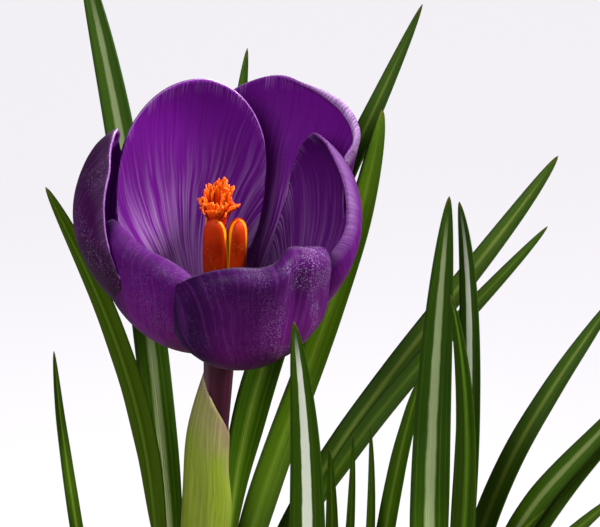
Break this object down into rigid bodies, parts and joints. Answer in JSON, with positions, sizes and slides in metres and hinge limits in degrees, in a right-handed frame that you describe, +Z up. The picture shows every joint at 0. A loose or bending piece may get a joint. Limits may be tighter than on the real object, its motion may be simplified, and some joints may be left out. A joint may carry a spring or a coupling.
{
  "type": "potted crocus",
  "caption": "Purple crocus in full bloom with tufts of pale-striped green leaves, in a plain clay pot filled with soil.",
  "frame": {"origin": "centre of the pot's foot, on the surface it stands on", "axes": "+Z up, -Y toward the side that the bloom opens to"},
  "size_m": [0.1183, 0.118, 0.2191],
  "materials": {
    "terracotta": "matt unglazed clay",
    "soil": "loose dark potting soil",
    "sheath": "pale papery sheath over a brown corm",
    "leaf": "satin green leaf with a pale midrib",
    "tepal": "silky violet with fine veins",
    "spathe": "thin papery bract, green to brown",
    "anther": "dusty orange pollen",
    "stigma": "satin orange"
  },
  "bodies": {
    "root": {"pot": "terracotta", "soil": "soil", "corm_main": "sheath", "corm_back": "sheath", "corm_middle": "sheath", "corm_front": "sheath", "corm_right": "sheath", "corm_far_right": "sheath", "corm_left": "sheath", "leaves_main": "leaf", "leaves_back": "leaf", "leaves_middle": "leaf", "leaves_front": "leaf", "leaves_right": "leaf", "leaves_far_right": "leaf", "leaves_left": "leaf", "spathe": "spathe", "bloom": "tepal", "stamen_1": "anther", "stamen_2": "anther", "stamen_3": "anther", "style": "stigma"}
  },
  "joints": []
}
